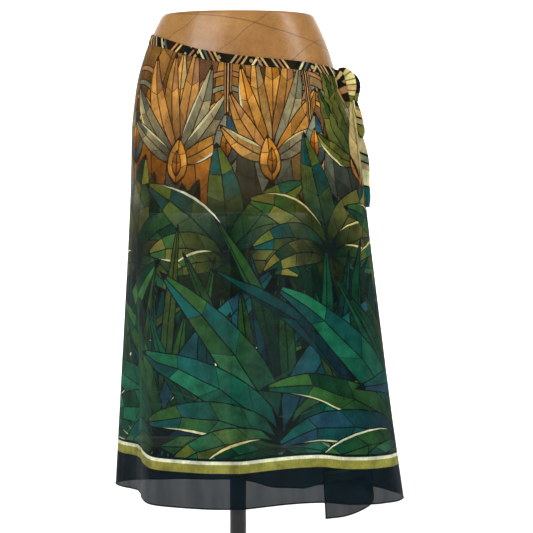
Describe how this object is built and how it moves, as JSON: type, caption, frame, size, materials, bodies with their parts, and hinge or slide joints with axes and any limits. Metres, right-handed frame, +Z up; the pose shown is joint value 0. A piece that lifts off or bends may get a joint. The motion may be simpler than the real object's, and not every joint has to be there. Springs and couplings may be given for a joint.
{
  "type": "wrap skirt on dress form",
  "caption": "Sheer printed midi wrap skirt with a narrow band, tied at one hip of a limbless half dress form on a pole and a round base.",
  "frame": {"origin": "centre of the round base's underside, on the floor", "axes": "+Z up along the pole, the front of the skirt faces -Y, the knotted hip is at +X"},
  "size_m": [0.4525, 0.35, 1.009],
  "materials": {
    "printed_mesh": "sheer power mesh with a printed leaf design, a cream and olive stripe and a dark hem",
    "waistband": "doubled printed mesh",
    "tie_cloth": "printed mesh, soft and crumpled",
    "form_cover": "varnished paper skin with fine slanting lap lines",
    "stand_metal": "black powder coat"
  },
  "bodies": {
    "root": {"form_body": "form_cover", "form_flange": "stand_metal", "stand_pole": "stand_metal", "base_socket": "stand_metal", "base_disc": "stand_metal", "cloth_under_lap": "printed_mesh", "cloth_back": "printed_mesh", "cloth_side": "printed_mesh", "cloth_front": "printed_mesh", "cloth_over_lap": "printed_mesh", "band_under_lap": "waistband", "band_back": "waistband", "band_front": "waistband", "tie_knot": "tie_cloth", "tie_end_short": "tie_cloth", "tie_end_long": "tie_cloth"}
  },
  "joints": []
}
